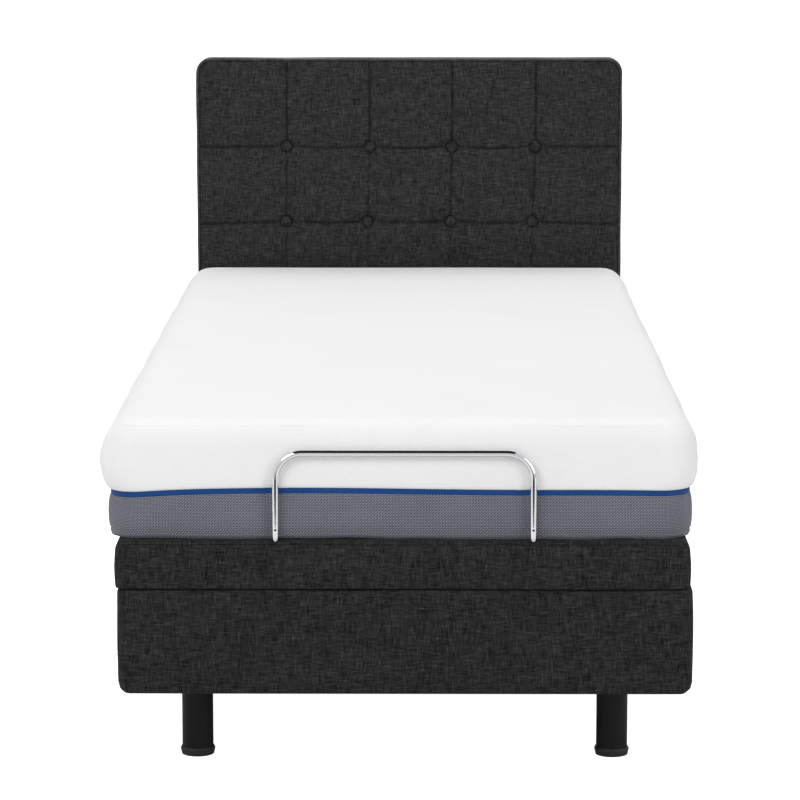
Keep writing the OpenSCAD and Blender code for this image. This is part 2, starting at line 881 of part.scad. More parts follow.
// Two struts behind the headboard, each with a spacer that bolts to the head panel
module headboard_struts() {
    color(STEEL) placed() both_sides() translate([strut_x - strut_w / 2, 0, 0]) {
        translate([0, headboard_back, strut_low]) cube([strut_w, plate_t, strut_top - strut_low]);
        translate([0, base_l, strut_low]) cube([strut_w, headboard_back - base_l + 1, spacer_h]);
    }
}
module headboard_bolts() {
    color(BRIGHT) placed() both_sides()
        for (z = strut_bolt_zs)
            translate([strut_x, headboard_back + plate_t, z]) rotate([-90, 0, 0])
                cylinder(r = 9, h = bolt_head);
}

leg_foot_left();
leg_foot_right();
leg_head_left();
leg_head_right();
leg_caps();
leg_plates();
leg_bolts();
cross_member_foot();
cross_member_thigh();
cross_member_back();
cross_member_head();
frame_rail_left();
frame_rail_right();
foot_panel();
head_panel();
left_panel();
right_panel();
seat_posts();
seat_rails();
seat_board();
seat_pad();
hinge_brackets();
hinge_pins();
actuator_brackets();
bracket_pins();
stay_brackets();
headboard_board();
headboard_pad();
headboard_buttons();
headboard_struts();
headboard_bolts();
control_box();
mattress_seat();
back_board();
back_pad();
back_rails();
back_lever();
back_hinge_plates();
mattress_back();
thigh_board();
thigh_pad();
thigh_rails();
thigh_lever();
thigh_hinge_plates();
thigh_knee_plates();
mattress_thigh();
calf_board();
calf_pad();
calf_rails();
calf_knee_plates();
link_brackets();
retainer_bar();
mattress_calf();
stay_links();
back_motor();
back_motor_tube();
back_rod();
leg_motor();
leg_motor_tube();
leg_rod();
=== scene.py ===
"""Looks of the adjustable bed: upholstery, mattress, retainer bar, finishes, light and camera.

Metres. +Z is up, the foot end faces -Y. Soft pieces are grids mapped to rounded, puffed forms.
"""

import json
import math

import bmesh
import bpy
import numpy as np
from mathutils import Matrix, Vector


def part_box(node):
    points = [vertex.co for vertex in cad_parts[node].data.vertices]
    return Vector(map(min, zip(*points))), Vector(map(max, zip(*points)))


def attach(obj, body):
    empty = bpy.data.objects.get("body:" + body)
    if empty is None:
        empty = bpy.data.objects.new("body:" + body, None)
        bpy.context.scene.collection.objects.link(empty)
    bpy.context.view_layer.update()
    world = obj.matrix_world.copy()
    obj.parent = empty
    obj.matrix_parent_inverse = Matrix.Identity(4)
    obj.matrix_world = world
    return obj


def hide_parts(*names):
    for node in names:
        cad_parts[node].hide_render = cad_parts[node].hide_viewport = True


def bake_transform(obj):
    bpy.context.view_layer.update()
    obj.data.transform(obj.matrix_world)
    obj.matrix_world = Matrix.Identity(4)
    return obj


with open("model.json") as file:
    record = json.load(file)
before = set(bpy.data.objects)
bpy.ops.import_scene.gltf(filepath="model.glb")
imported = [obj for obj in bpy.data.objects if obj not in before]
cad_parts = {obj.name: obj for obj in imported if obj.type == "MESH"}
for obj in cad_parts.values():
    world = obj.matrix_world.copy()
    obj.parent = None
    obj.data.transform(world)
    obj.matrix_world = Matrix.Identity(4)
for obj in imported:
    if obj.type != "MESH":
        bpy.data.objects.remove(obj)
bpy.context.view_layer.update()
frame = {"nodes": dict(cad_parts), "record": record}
scene = bpy.context.scene
MM = 0.001
TINY = 1e-6  # tells points on a face from points inside it
LOW_X, HIGH_X, LOW_Y, HIGH_Y, BOTTOM, TOP = range(6)  # a box grid's sides
FOOT_Y = -1036.5 * MM  # the foot end, from which distances along the bed are measured
BAR_R = 5.5 * MM
BUTTON_R = 11.5 * MM
BUTTON_DEPTH = 11.5 * MM  # how far a button's rim lies behind the headboard's front
# sideways shift of the lower and the upper button in each column, in millimetres
BUTTON_SHIFTS = ((-1, 1), (-2, 4), (2, 4), (0, 6))


def mm(*values):
    """Millimetres as metres."""
    return [v * MM for v in values]


def both_ways(offsets):
    """0, and each offset on both sides of it."""
    return [0, *offsets, *(-o for o in offsets)]


def smooth(t):
    """Eases t from 0 to 1."""
    return t * t * (3 - 2 * t)


def new_object(name, data):
    obj = bpy.data.objects.new(name, data)
    scene.collection.objects.link(obj)
    return obj


# ---------------------------------------------------------------- grids and forms
def lines(lo, hi, step, offsets=(), marks=()):
    """Grid lines from lo to hi: at marks, at offsets in from both ends, and every step between."""
    fixed = {lo, hi, *marks}
    for o in offsets:
        fixed |= {lo + o, hi - o}
    fixed = sorted(m for m in fixed if lo <= m <= hi)
    kept = [fixed[0]]
    for m in fixed[1:]:
        if m - kept[-1] > 2e-4:
            kept.append(m)
    kept[-1] = hi
    out = [kept[0]]
    for a, b in zip(kept, kept[1:]):
        n = max(1, math.ceil((b - a) / step - TINY))
        out += [a + (b - a) * (i + 1) / n for i in range(n)]
    return np.array(out)


def box_grid(xs, ys, zs):
    """Points and quads of a closed box, and the side that each quad is on, LOW_X to TOP."""
    shell = np.ones((len(xs), len(ys), len(zs)), bool)
    shell[1:-1, 1:-1, 1:-1] = False
    index = (np.cumsum(shell.ravel()) - 1).reshape(shell.shape)
    points = np.stack(np.meshgrid(xs, ys, zs, indexing="ij"), -1)[shell]
    quads, sides = [], []
    sheets = (
        (index[0], False), (index[-1], True), (index[:, 0], True),
        (index[:, -1], False), (index[:, :, 0], False), (index[:, :, -1], True),
    )
    for number, (sheet, flip) in enumerate(sheets):
        q = np.stack(
            [sheet[:-1, :-1], sheet[:-1, 1:], sheet[1:, 1:], sheet[1:, :-1]], -1
        ).reshape(-1, 4)
        quads.append(q[:, ::-1] if flip else q)
        sides.append(np.full(len(q), number))
    return points, np.concatenate(quads), np.concatenate(sides)


def wrap_uv(points, quads, sides, lo, hi):
    """UV in metres: the top lies flat and the four sides fold down from it, as cloth would."""
    p = points[quads]
    x, y, z = p[..., 0], p[..., 1], p[..., 2]
    down = hi[2] - z
    side = sides[:, None]
    u = np.where(side == LOW_X, lo[0] - down, np.where(side == HIGH_X, hi[0] + down, x))
    v = np.where(side == LOW_Y, lo[1] - down, np.where(side == HIGH_Y, hi[1] + down, y))
    return np.stack([u, v], -1)


def rounded(points, lo, hi, plan_r, top_r, low_r):
    """Rounds a box: its four upright corners to plan_r, its top and lower edges to top_r and low_r.

    Returns the points, how far each was inside the nearest side, and its outward plan direction.
    """
    lo, hi = np.array(lo), np.array(hi)
    centre, half = (lo + hi) / 2, (hi - lo) / 2
    q = points - centre
    sign = np.where(q < 0, -1.0, 1.0)
    a = np.abs(q)
    d = half[:2] - a[:, :2]
    s = d.min(1)
    s_new, z_new = s.copy(), points[:, 2].copy()
    for r, depth, base, way in (
        (top_r, hi[2] - points[:, 2], hi[2], -1), (low_r, points[:, 2] - lo[2], lo[2], 1)
    ):
        near = (s < r) & (depth < r)
        u, v = r - s, r - depth
        m, length = np.maximum(u, v), np.maximum(np.hypot(u, v), 1e-9)
        s_new = np.where(near, r - u * m / length, s_new)
        z_new = np.where(near, base + way * (r - v * m / length), z_new)
    corner = (d < plan_r).all(1)
    v = np.maximum(plan_r - d, 1e-9)
    length = np.hypot(v[:, 0], v[:, 1])
    arm = np.maximum(plan_r - s_new, 0)[:, None]
    xy = np.where(corner[:, None], half[:2] - plan_r + v / length[:, None] * arm, a[:, :2])
    on_x = ~corner & (d[:, 0] <= d[:, 1])
    on_y = ~corner & ~on_x
    xy[:, 0] = np.where(on_x, half[0] - s_new, xy[:, 0])
    xy[:, 1] = np.where(on_y, half[1] - s_new, xy[:, 1])
    out = np.where(
        corner[:, None], v / length[:, None], np.stack([on_x, on_y], -1).astype(float)
    )
    moved = np.column_stack([xy * sign[:, :2] + centre[:2], z_new])
    return moved, s, out * sign[:, :2]


def ripple(p, size, seed, waves=9):
    """Smooth seeded unevenness between about -1 and 1, with bumps of about size."""
    rng = np.random.default_rng(seed)
    total = np.zeros(len(p))
    for _ in range(waves):
        way = rng.normal(size=3)
        way *= 2 * math.pi / (size * rng.uniform(0.7, 1.6) * np.linalg.norm(way))
        total += np.sin(p @ way + rng.uniform(0, 2 * math.pi))
    return total / math.sqrt(waves)


def bell(d, width):
    return np.exp(-((d / width) ** 2))


def piece(name, points, faces, uv, materials, which=None, sharp=None):
    """A smooth mesh object. which is each face's material; sharp marks faces with hard borders."""
    mesh = bpy.data.meshes.new(name)
    mesh.from_pydata(np.asarray(points).tolist(), [], np.asarray(faces).tolist())
    mesh.uv_layers.new(name="cloth").data.foreach_set("uv", np.asarray(uv, np.float32).ravel())
    for m in materials:
        mesh.materials.append(m)
    mesh.polygons.foreach_set("use_smooth", np.ones(len(mesh.polygons), bool))
    if which is not None:
        mesh.polygons.foreach_set("material_index", np.asarray(which, np.int32))
    if sharp is not None and np.any(sharp):
        bm = bmesh.new()
        bm.from_mesh(mesh)
        bm.faces.ensure_lookup_table()
        for e in bm.edges:
            kinds = {bool(sharp[f.index]) for f in e.link_faces}
            e.smooth = len(kinds) == 1
        bm.to_mesh(mesh)
        bm.free()
    mesh.validate()
    return new_object(name, mesh)


# ---------------------------------------------------------------- materials
class Shader:
    """A Principled material, with add() to make a node whose inputs are numbers or sockets."""

    def __init__(self, name, **sockets):
        self.material = bpy.data.materials.new(name)
        self.material.use_nodes = True
        self.tree = self.material.node_tree
        self.bsdf = self.tree.nodes["Principled BSDF"]
        self.feed(self.bsdf, sockets)

    def feed(self, node, sockets):
        for key, value in sockets.items():
            key = key if isinstance(key, int) else key.replace("_", " ")
            if isinstance(value, bpy.types.NodeSocket):
                self.tree.links.new(value, node.inputs[key])
            else:
                node.inputs[key].default_value = value

    def add(self, kind, inputs=None, **props):
        node = self.tree.nodes.new("ShaderNode" + kind)
        for key, value in props.items():
            setattr(node, key, value)
        self.feed(node, inputs or {})
        return node

    def math(self, operation, a, b=0.0, c=0.0):
        return self.add("Math", {0: a, 1: b, 2: c}, operation=operation).outputs[0]

    def uv(self):
        return self.add("UVMap").outputs[0]

    def place(self):
        return self.add("TexCoord").outputs["Object"]

    def stretched(self, coordinate, scale):
        return self.add("Mapping", {"Vector": coordinate, "Scale": scale}).outputs[0]

    def noise(self, vector, scale=1.0, detail=2.0, roughness=0.5):
        sockets = {"Vector": vector, "Scale": scale, "Detail": detail, "Roughness": roughness}
        return self.add("TexNoise", sockets).outputs["Fac"]

    def shade(self, colour, factor):
        """colour times factor, in Base Color."""
        tone = self.add("VectorMath", {0: colour, "Scale": factor}, operation="SCALE").outputs[0]
        self.feed(self.bsdf, {"Base_Color": tone})

    def vary(self, tone, noise, amount):
        """tone, moved both ways by a noise that is 0.5 on average."""
        return self.math("MULTIPLY_ADD", self.math("SUBTRACT", noise, 0.5), amount, tone)

    def bump(self, height, strength, distance):
        sockets = {"Height": height, "Strength": strength, "Distance": distance}
        self.feed(self.bsdf, {"Normal": self.add("Bump", sockets).outputs[0]})


def linen(name, colour, contrast=2.7, pitch=1.55 * MM, sheen=0.03, nap=0.5):
    """Coarse woven upholstery: every thread has its own tone, which drifts along it in slubs."""
    m = Shader(
        name, Roughness=0.9, Sheen_Weight=sheen, Sheen_Roughness=nap, Specular_IOR_Level=0.15
    )
    uv = m.uv()
    wander = m.noise(m.stretched(uv, (60, 60, 1)), detail=1)
    split = m.add("SeparateXYZ", {0: uv})
    offset = m.math("MULTIPLY", wander, 0.5 * pitch)
    u, v = (m.math("ADD", split.outputs[k], offset) for k in (0, 1))

    def thread(across, along, seed):
        number = m.math("FLOOR", m.math("DIVIDE", across, pitch))
        at = {0: m.math("MULTIPLY", number, 5.17), 1: m.math("MULTIPLY", along, 48.0), 2: seed}
        one = m.noise(m.add("CombineXYZ", at).outputs[0], detail=1.0, roughness=0.6)
        bundle = {
            0: m.math("MULTIPLY", across, 210.0), 1: m.math("MULTIPLY", along, 9.0), 2: seed + 3,
        }
        group = m.noise(m.add("CombineXYZ", bundle).outputs[0], detail=0)
        return m.vary(one, group, 0.1)

    warp, weft = thread(u, v, 1.0), thread(v, u, 9.0)
    cloudy = m.noise(m.stretched(uv, (11, 11, 1)), detail=3)
    fuzz = m.noise(m.stretched(uv, (1500, 1500, 1)), detail=0)
    slubs = m.math(
        "ADD", m.math("MAXIMUM", m.math("SUBTRACT", warp, 0.6), 0.0),
        m.math("MAXIMUM", m.math("SUBTRACT", weft, 0.6), 0.0),
    )
    both = m.math("SUBTRACT", m.math("ADD", warp, weft), 1.0)
    tone = m.math("MULTIPLY_ADD", both, contrast, 1.0)
    tone = m.math("MULTIPLY_ADD", slubs, 2.4, tone)
    tone = m.vary(tone, cloudy, 0.3)
    tone = m.vary(tone, fuzz, 0.3)
    m.shade(colour, m.math("MAXIMUM", tone, 0.2))
    ridges = [
        m.math("ABSOLUTE", m.math("SINE", m.math("MULTIPLY", k, math.pi / pitch))) for k in (u, v)
    ]
    ridge = m.math("ADD", *ridges)
    height = m.math("MULTIPLY_ADD", ridge, 0.3, m.math("ADD", warp, weft))
    m.bump(height, 0.4, 0.6 * MM)
    return m.material


def knit_cover():
    """White knitted cover with faint rows."""
    m = Shader(
        "white_knit_cover", Roughness=0.82, Sheen_Weight=0.2, Sheen_Roughness=0.4,
        Specular_IOR_Level=0.2,
    )
    uv = m.uv()
    cells = m.add("TexVoronoi", {"Vector": m.stretched(uv, (420, 250, 1)), "Scale": 1.0})
    rows = m.noise(m.stretched(uv, (30, 420, 1)), detail=1)
    drift = m.noise(m.stretched(uv, (6, 6, 1)), detail=3)
    tone = m.vary(1.0, drift, 0.05)
    tone = m.vary(tone, rows, 0.05)
    tone = m.math("MULTIPLY_ADD", cells.outputs["Distance"], -0.03, tone)
    m.shade((0.83, 0.83, 0.835), tone)
    height = m.math("MULTIPLY_ADD", rows, 0.5, cells.outputs["Distance"])
    m.bump(height, 0.25, 0.5 * MM)
    return m.material


def mesh_border():
    """Grey spacer mesh with a diagonal twill of light and dark dots."""
    m = Shader("grey_mesh_border", Roughness=0.7, Sheen_Weight=0.15, Specular_IOR_Level=0.3)
    uv = m.uv()
    split = m.add("SeparateXYZ", {0: uv})
    u, v = split.outputs[0], split.outputs[1]
    turn = 2 * math.pi / (4.6 * MM)
    one = m.math("SINE", m.math("MULTIPLY", m.math("SUBTRACT", u, v), turn))
    two = m.math("SINE", m.math("MULTIPLY", m.math("ADD", u, v), turn))
    crossed = m.math("MULTIPLY", m.math("MULTIPLY", one, two), 0.75)
    dots = m.math("MULTIPLY_ADD", one, 0.45, crossed)
    speck = m.noise(m.stretched(uv, (500, 500, 1)), detail=1)
    drift = m.noise(m.stretched(uv, (14, 14, 1)), detail=2)
    tone = m.math("MULTIPLY_ADD", dots, 1.65, 1.0)
    tone = m.vary(tone, speck, 0.5)
    tone = m.vary(tone, drift, 0.25)
    m.shade((0.124, 0.127, 0.151), m.math("MAXIMUM", tone, 0.15))
    m.bump(dots, 0.5, 0.5 * MM)
    return m.material


def piping_tape():
    """Ribbed blue tape between the white cover and the grey border."""
    m = Shader("blue_tape", Roughness=0.6, Sheen_Weight=0.1, Specular_IOR_Level=0.15)
    uv = m.uv()
    rib = m.noise(m.stretched(uv, (700, 90, 1)), detail=1)
    drift = m.noise(m.stretched(uv, (25, 25, 1)), detail=1)
    tone = m.vary(1.0, rib, 0.7)
    tone = m.vary(tone, drift, 0.3)
    m.shade((0.0065, 0.05, 0.2), tone)
    m.bump(rib, 0.3, 0.3 * MM)
    return m.material


def speckled(
    name, colour, roughness, metallic=0.0, grain=900.0, depth=0.15, spread=0.12, wear=0.1,
    specular=0.5,
):
    """Paint, plastic, rubber or plated metal: a fine grain in bump, tone and roughness."""
    m = Shader(name, Metallic=metallic, Specular_IOR_Level=specular)
    at = m.place()
    fine = m.noise(at, grain, 2)
    broad = m.noise(at, 14, 4, 0.6)
    tone = m.vary(1.0, broad, wear * 2)
    tone = m.vary(tone, fine, wear)
    m.shade(colour, tone)
    rough = m.vary(roughness, broad, spread * 2)
    m.feed(m.bsdf, {"Roughness": rough})
    m.bump(fine, depth, 0.3 * MM)
    return m.material


def plywood():
    """Pale plywood: grain on the faces and ply lines up the edges."""
    m = Shader("raw_plywood", Roughness=0.62)
    at = m.place()
    grain = m.noise(m.stretched(at, (90, 4, 300)), detail=4, roughness=0.65)
    rings = m.noise(m.stretched(at, (7, 1.1, 7)), detail=1)
    bands = m.math("SINE", m.math("MULTIPLY", rings, 70.0))
    height = m.add("SeparateXYZ", {0: at}).outputs[2]
    plies = m.math("SINE", m.math("MULTIPLY", height, 1750.0))
    tone = m.vary(1.0, grain, 0.5)
    tone = m.math("MULTIPLY_ADD", bands, 0.06, tone)
    tone = m.math("MULTIPLY_ADD", plies, 0.09, tone)
    m.shade((0.55, 0.38, 0.215), tone)
    m.bump(grain, 0.25, 0.4 * MM)
    return m.material


def dust_cloth():
    """Thin black non-woven cloth on the headboard's back, with its pressed dots."""
    m = Shader("dust_cloth", Roughness=0.95)
    uv = m.uv()
    cells = m.add("TexVoronoi", {"Vector": m.stretched(uv, (500, 500, 1)), "Scale": 1.0})
    fibres = m.noise(m.stretched(uv, (250, 250, 1)), detail=5, roughness=0.7)
    tone = m.vary(1.0, fibres, 0.8)
    m.shade((0.016, 0.016, 0.017), tone)
    m.bump(cells.outputs["Distance"], 0.5, 0.4 * MM)
    return m.material


surround_linen = linen("surround_linen", (0.0181, 0.0178, 0.0181), contrast=2.9)
deck_linen = linen("deck_linen", (0.0187, 0.0184, 0.0187), contrast=2.9)
headboard_linen = linen(
    "headboard_linen", (0.0274, 0.027, 0.0275), contrast=2.1, pitch=1.9 * MM, sheen=0.45, nap=0.22
)
# the border strip round the headboard has more nap and sheen, and a colour painted nearly twice as
# light as the front's: a painted highlight for the light its top catches
border_painted_highlight_linen = linen(
    "border_painted_highlight_linen", (0.052, 0.051, 0.052), contrast=1.6, pitch=1.9 * MM, sheen=0.6, nap=0.3
)
white_knit, grey_mesh, blue_tape = knit_cover(), mesh_border(), piping_tape()
chrome = speckled(
    "polished_chrome", (0.86, 0.86, 0.88), 0.07,
    metallic=1, grain=1500, depth=0.01, spread=0.03, wear=0.01,
)
finishes = {
    "dust": dust_cloth(),
    "leg_paint": speckled(
        "leg_satin_paint", (0.0028, 0.0028, 0.0029), 0.5,
        grain=1200, depth=0.12, spread=0.06, specular=0.24,
    ),
    "foot_rubber": speckled(
        "foot_rubber", (0.013, 0.013, 0.013), 0.62, grain=1500, depth=0.25
    ),
    "zinc_steel": speckled(
        "zinc_plate", (0.52, 0.53, 0.55), 0.34,
        metallic=1, grain=260, depth=0.06, spread=0.1, wear=0.16,
    ),
    "rod_steel": speckled(
        "ground_steel", (0.62, 0.63, 0.65), 0.2,
        metallic=1, grain=1200, depth=0.04, spread=0.06, wear=0.05,
    ),
    "frame_paint": speckled(
        "frame_powder_coat", (0.016, 0.016, 0.017), 0.45, grain=1100, depth=0.3, spread=0.08
    ),
    "drive_plastic": speckled(
        "drive_plastic", (0.014, 0.014, 0.015), 0.5, grain=1600, depth=0.35, spread=0.06
    ),
    "chrome_bar": chrome,
    "plywood": plywood(),
}
for part in frame["record"]["subparts"]:
    finish = finishes.get(part["material_slot"])
    if finish:
        mesh = frame["nodes"][part["node"]].data
        mesh.materials.clear()
        mesh.materials.append(finish)


def corners(node):
    lo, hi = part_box(node)
    return np.array(lo), np.array(hi)


# ---------------------------------------------------------------- surround
def upholster_surround():
    """Four padded panels under one cover, as a ring with rounded corners and soft edges."""
    lo = np.minimum(corners("foot_panel")[0], corners("left_panel")[0])
    hi = np.maximum(corners("head_panel")[1], corners("right_panel")[1])
    wall = corners("foot_panel")[1][1] - corners("foot_panel")[0][1]
    corner_r, top_r, low_r, lip = 20 * MM, 6 * MM, 7 * MM, 3 * MM
    proud, bulge_out, tuck_in, tuck_h = 0.6 * MM, 1.4 * MM, 9 * MM, 15 * MM
    half = (hi[:2] - lo[:2]) / 2
    mid = (hi[:2] + lo[:2]) / 2
    lean = np.array([0.6 * MM, 0])
    height = hi[2] - lo[2]

    def arc(radius, start_s, start_z, a0, a1, n=6):
        return [
            (start_s - radius * math.cos(a), start_z + radius * math.sin(a))
            for a in np.linspace(a0, a1, n)
        ]

    # section as (inset from the outside, height): up the outside, over the top, down the inside
    section = arc(low_r, low_r, low_r, -math.pi / 2, 0)
    section += [(0, z) for z in np.linspace(low_r, height - top_r, 16)[1:-1]]
    section += arc(top_r, top_r, height - top_r, 0, math.pi / 2)
    section += [(s, height) for s in np.linspace(top_r, wall - lip, 4)[1:]]
    section += [(wall, height - lip)]
    section += [(wall, z) for z in np.linspace(height - 30 * MM, lip, 5)]
    section += [(wall - lip, 0)]
    section += [(s, 0) for s in np.linspace(wall - lip, low_r, 4)[1:-1]]
    section = np.array(section)
    # path round the bed: straight runs, with an arc at each corner
    path = []
    step = 12 * MM
    for sx, sy, a0 in ((1, -1, -math.pi / 2), (1, 1, 0), (-1, 1, math.pi / 2), (-1, -1, math.pi)):
        centre = (sx * (half[0] - corner_r), sy * (half[1] - corner_r))
        for a in np.linspace(a0, a0 + math.pi / 2, 9):
            path.append((*centre, math.cos(a), math.sin(a)))
    full = []
    for i, a in enumerate(path):
        b = path[(i + 1) % len(path)]
        gap = math.hypot(a[0] - b[0], a[1] - b[1])
        n = max(1, round(gap / step))
        full += [tuple(a[k] + (b[k] - a[k]) * j / n for k in range(4)) for j in range(n)]
    full = np.array(full)
    n_path, n_section = len(full), len(section)
    s, z = section[:, 0], section[:, 1]
    bulge = bulge_out * np.sin(math.pi * np.clip(z / height, 0, 1)) ** 0.6 * (s < TINY)
    out = corner_r - s + bulge + proud
    # the long sides turn under in a wider curve than the ends
    tuck = tuck_in * np.clip(1 - z / tuck_h, 0, 1) ** 2 * np.clip(1 - s / corner_r, 0, 1)
    out = out[None, :] - tuck[None, :] * full[:, 2:3] ** 2
    xy = full[:, None, :2] + full[:, None, 2:] * out[:, :, None]
    # inside the corner the panels meet square
    inner = s > corner_r
    inside = half - s[:, None]
    clipped = np.clip(full[:, None, :2], -inside[None], inside[None])
    way = np.sign(full[:, None, 2:]) * (np.abs(full[:, None, 2:]) > 0.35)
    square = np.where(way != 0, way * inside[None], clipped)
    xy = np.where(inner[None, :, None], square, xy)
    points = np.concatenate(
        [xy + mid + lean, np.broadcast_to((lo[2] + z)[None, :, None], (n_path, n_section, 1))], -1
    ).reshape(-1, 3)
    skin = (s < TINY)[None, :].repeat(n_path, 0).ravel()
    normal = np.repeat(full[:, 2:], n_section, 0)
    wave = ripple(points, 0.16, 3) * 0.5 * MM + ripple(points, 0.05, 4) * 0.15 * MM
    points[:, :2] += normal * (wave * skin)[:, None]
    top = np.where(section[:, 1] > height - 2 * MM, 1, 0)[None, :].repeat(n_path, 0).ravel()
    points[:, 2] += top * (ripple(points, 0.2, 5) * 0.5 * MM)
    i = np.arange(n_path)[:, None]
    j = np.arange(n_section)[None, :]
    i2, j2 = (i + 1) % n_path, (j + 1) % n_section
    quads = np.stack(
        [i * n_section + j, i2 * n_section + j, i2 * n_section + j2, i * n_section + j2], -1
    ).reshape(-1, 4)
    run = np.concatenate([[0], np.cumsum(np.linalg.norm(np.diff(xy[:, 0], axis=0), axis=1))])
    run = np.append(run, run[-1] + step)
    rise = np.concatenate([[0], np.cumsum(np.linalg.norm(np.diff(section, axis=0), axis=1))])
    rise = np.append(rise, rise[-1] + 4 * MM)
    uv = np.stack(
        np.broadcast_arrays(
            np.stack([run[i], run[i + 1], run[i + 1], run[i]], -1),
            np.stack([rise[j], rise[j], rise[j + 1], rise[j + 1]], -1),
        ),
        -1,
    ).reshape(-1, 4, 2)
    cover = piece("surround_cover", points, quads, uv, [surround_linen])
    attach(cover, "base")
    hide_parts("foot_panel", "head_panel", "left_panel", "right_panel")


# ---------------------------------------------------------------- deck
def upholster_deck(name, body, low_notch, high_notch, seed):
    """One deck section's padding: tight over the board, fuller low down, hollow under the board.

    low_notch and high_notch are how many degrees its two ends lean back above the hinge.
    """
    lo, hi = corners(name)
    low_end = name == "calf_pad"
    high_end = name == "back_pad"
    margin, board_top, hinge_z = 12 * MM, 316.5 * MM, 361 * MM
    shift_x, press, press_reach, notch_reach = -3 * MM, 0.055, 32 * MM, 60 * MM
    edge = mm(0, 1.5, 4, 8, 12, 12.6, 18, 26, 40)
    xs = lines(lo[0], hi[0], 15 * MM, edge)
    ys = lines(lo[1], hi[1], 15 * MM, edge)
    zs = lines(lo[2], hi[2], 6 * MM, mm(0, 1, 3, 6, 10, 15))
    grid, quads, sides = box_grid(xs, ys, zs)
    uv = wrap_uv(grid, quads, sides, lo, hi)
    moved, inset, out = rounded(grid, lo, hi, plan_r=16 * MM, top_r=15 * MM, low_r=3 * MM)
    height = (grid[:, 2] - lo[2]) / (hi[2] - lo[2])
    # open ends face another section, so they stay flat
    facing = np.ones(len(grid))
    at_low = (grid[:, 1] < lo[1] + TINY) & (not low_end)
    at_high = (grid[:, 1] > hi[1] - TINY) & (not high_end)
    facing[at_low | at_high] = 0
    skin = (inset < TINY) & (grid[:, 2] > lo[2] + TINY) & (grid[:, 2] < hi[2] - TINY)
    puff_at = [0, 0.08, 0.3, 0.5, 0.65, 0.8, 1]
    puff = np.interp(height, puff_at, [-1.6, -0.2, 0.6, 0.2, -0.9, -1.6, -2.2]) * MM
    uneven = ripple(grid, 0.12, seed) * 0.9 * MM + ripple(grid, 0.04, seed + 1) * 0.25 * MM
    moved[:, :2] += out * ((puff + uneven * (1 - height)) * skin * facing)[:, None]
    # a notch at each hinge keeps the raised sections apart
    up = np.clip(moved[:, 2] - hinge_z, 0, None)
    for end, notch, way in ((lo[1], low_notch, 1), (hi[1], high_notch, -1)):
        near = np.clip(1 - np.abs(grid[:, 1] - end) / notch_reach, 0, 1)
        moved[:, 1] += way * up * math.tan(math.radians(notch)) * near
    # the mattress presses the edges down a little, and the cover sits to one side
    moved[:, 2] -= (moved[:, 2] - lo[2]) * press * bell(inset, press_reach)
    moved[:, 0] += shift_x + 0.8 * MM * out[:, 0] * skin
    top = grid[:, 2] > hi[2] - TINY
    fade = np.clip(inset / (60 * MM), 0, 1)
    moved[:, 2] += top * fade * (-0.6 * MM + ripple(grid, 0.25, seed + 2) * 0.35 * MM)
    under = (grid[:, 2] < lo[2] + TINY) & (inset > margin + 0.4 * MM)
    moved[under, 2] = board_top
    # the lower hem wavers a little where it meets the surround
    hem = (~under) & (height < 0.12)
    moved[:, 2] += hem * ripple(grid * [1, 1, 0], 0.3, seed + 3) * 0.5 * MM
    pad = piece(name.replace("_pad", "_deck_cover"), moved, quads, uv, [deck_linen])
    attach(pad, body)
    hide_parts(name)


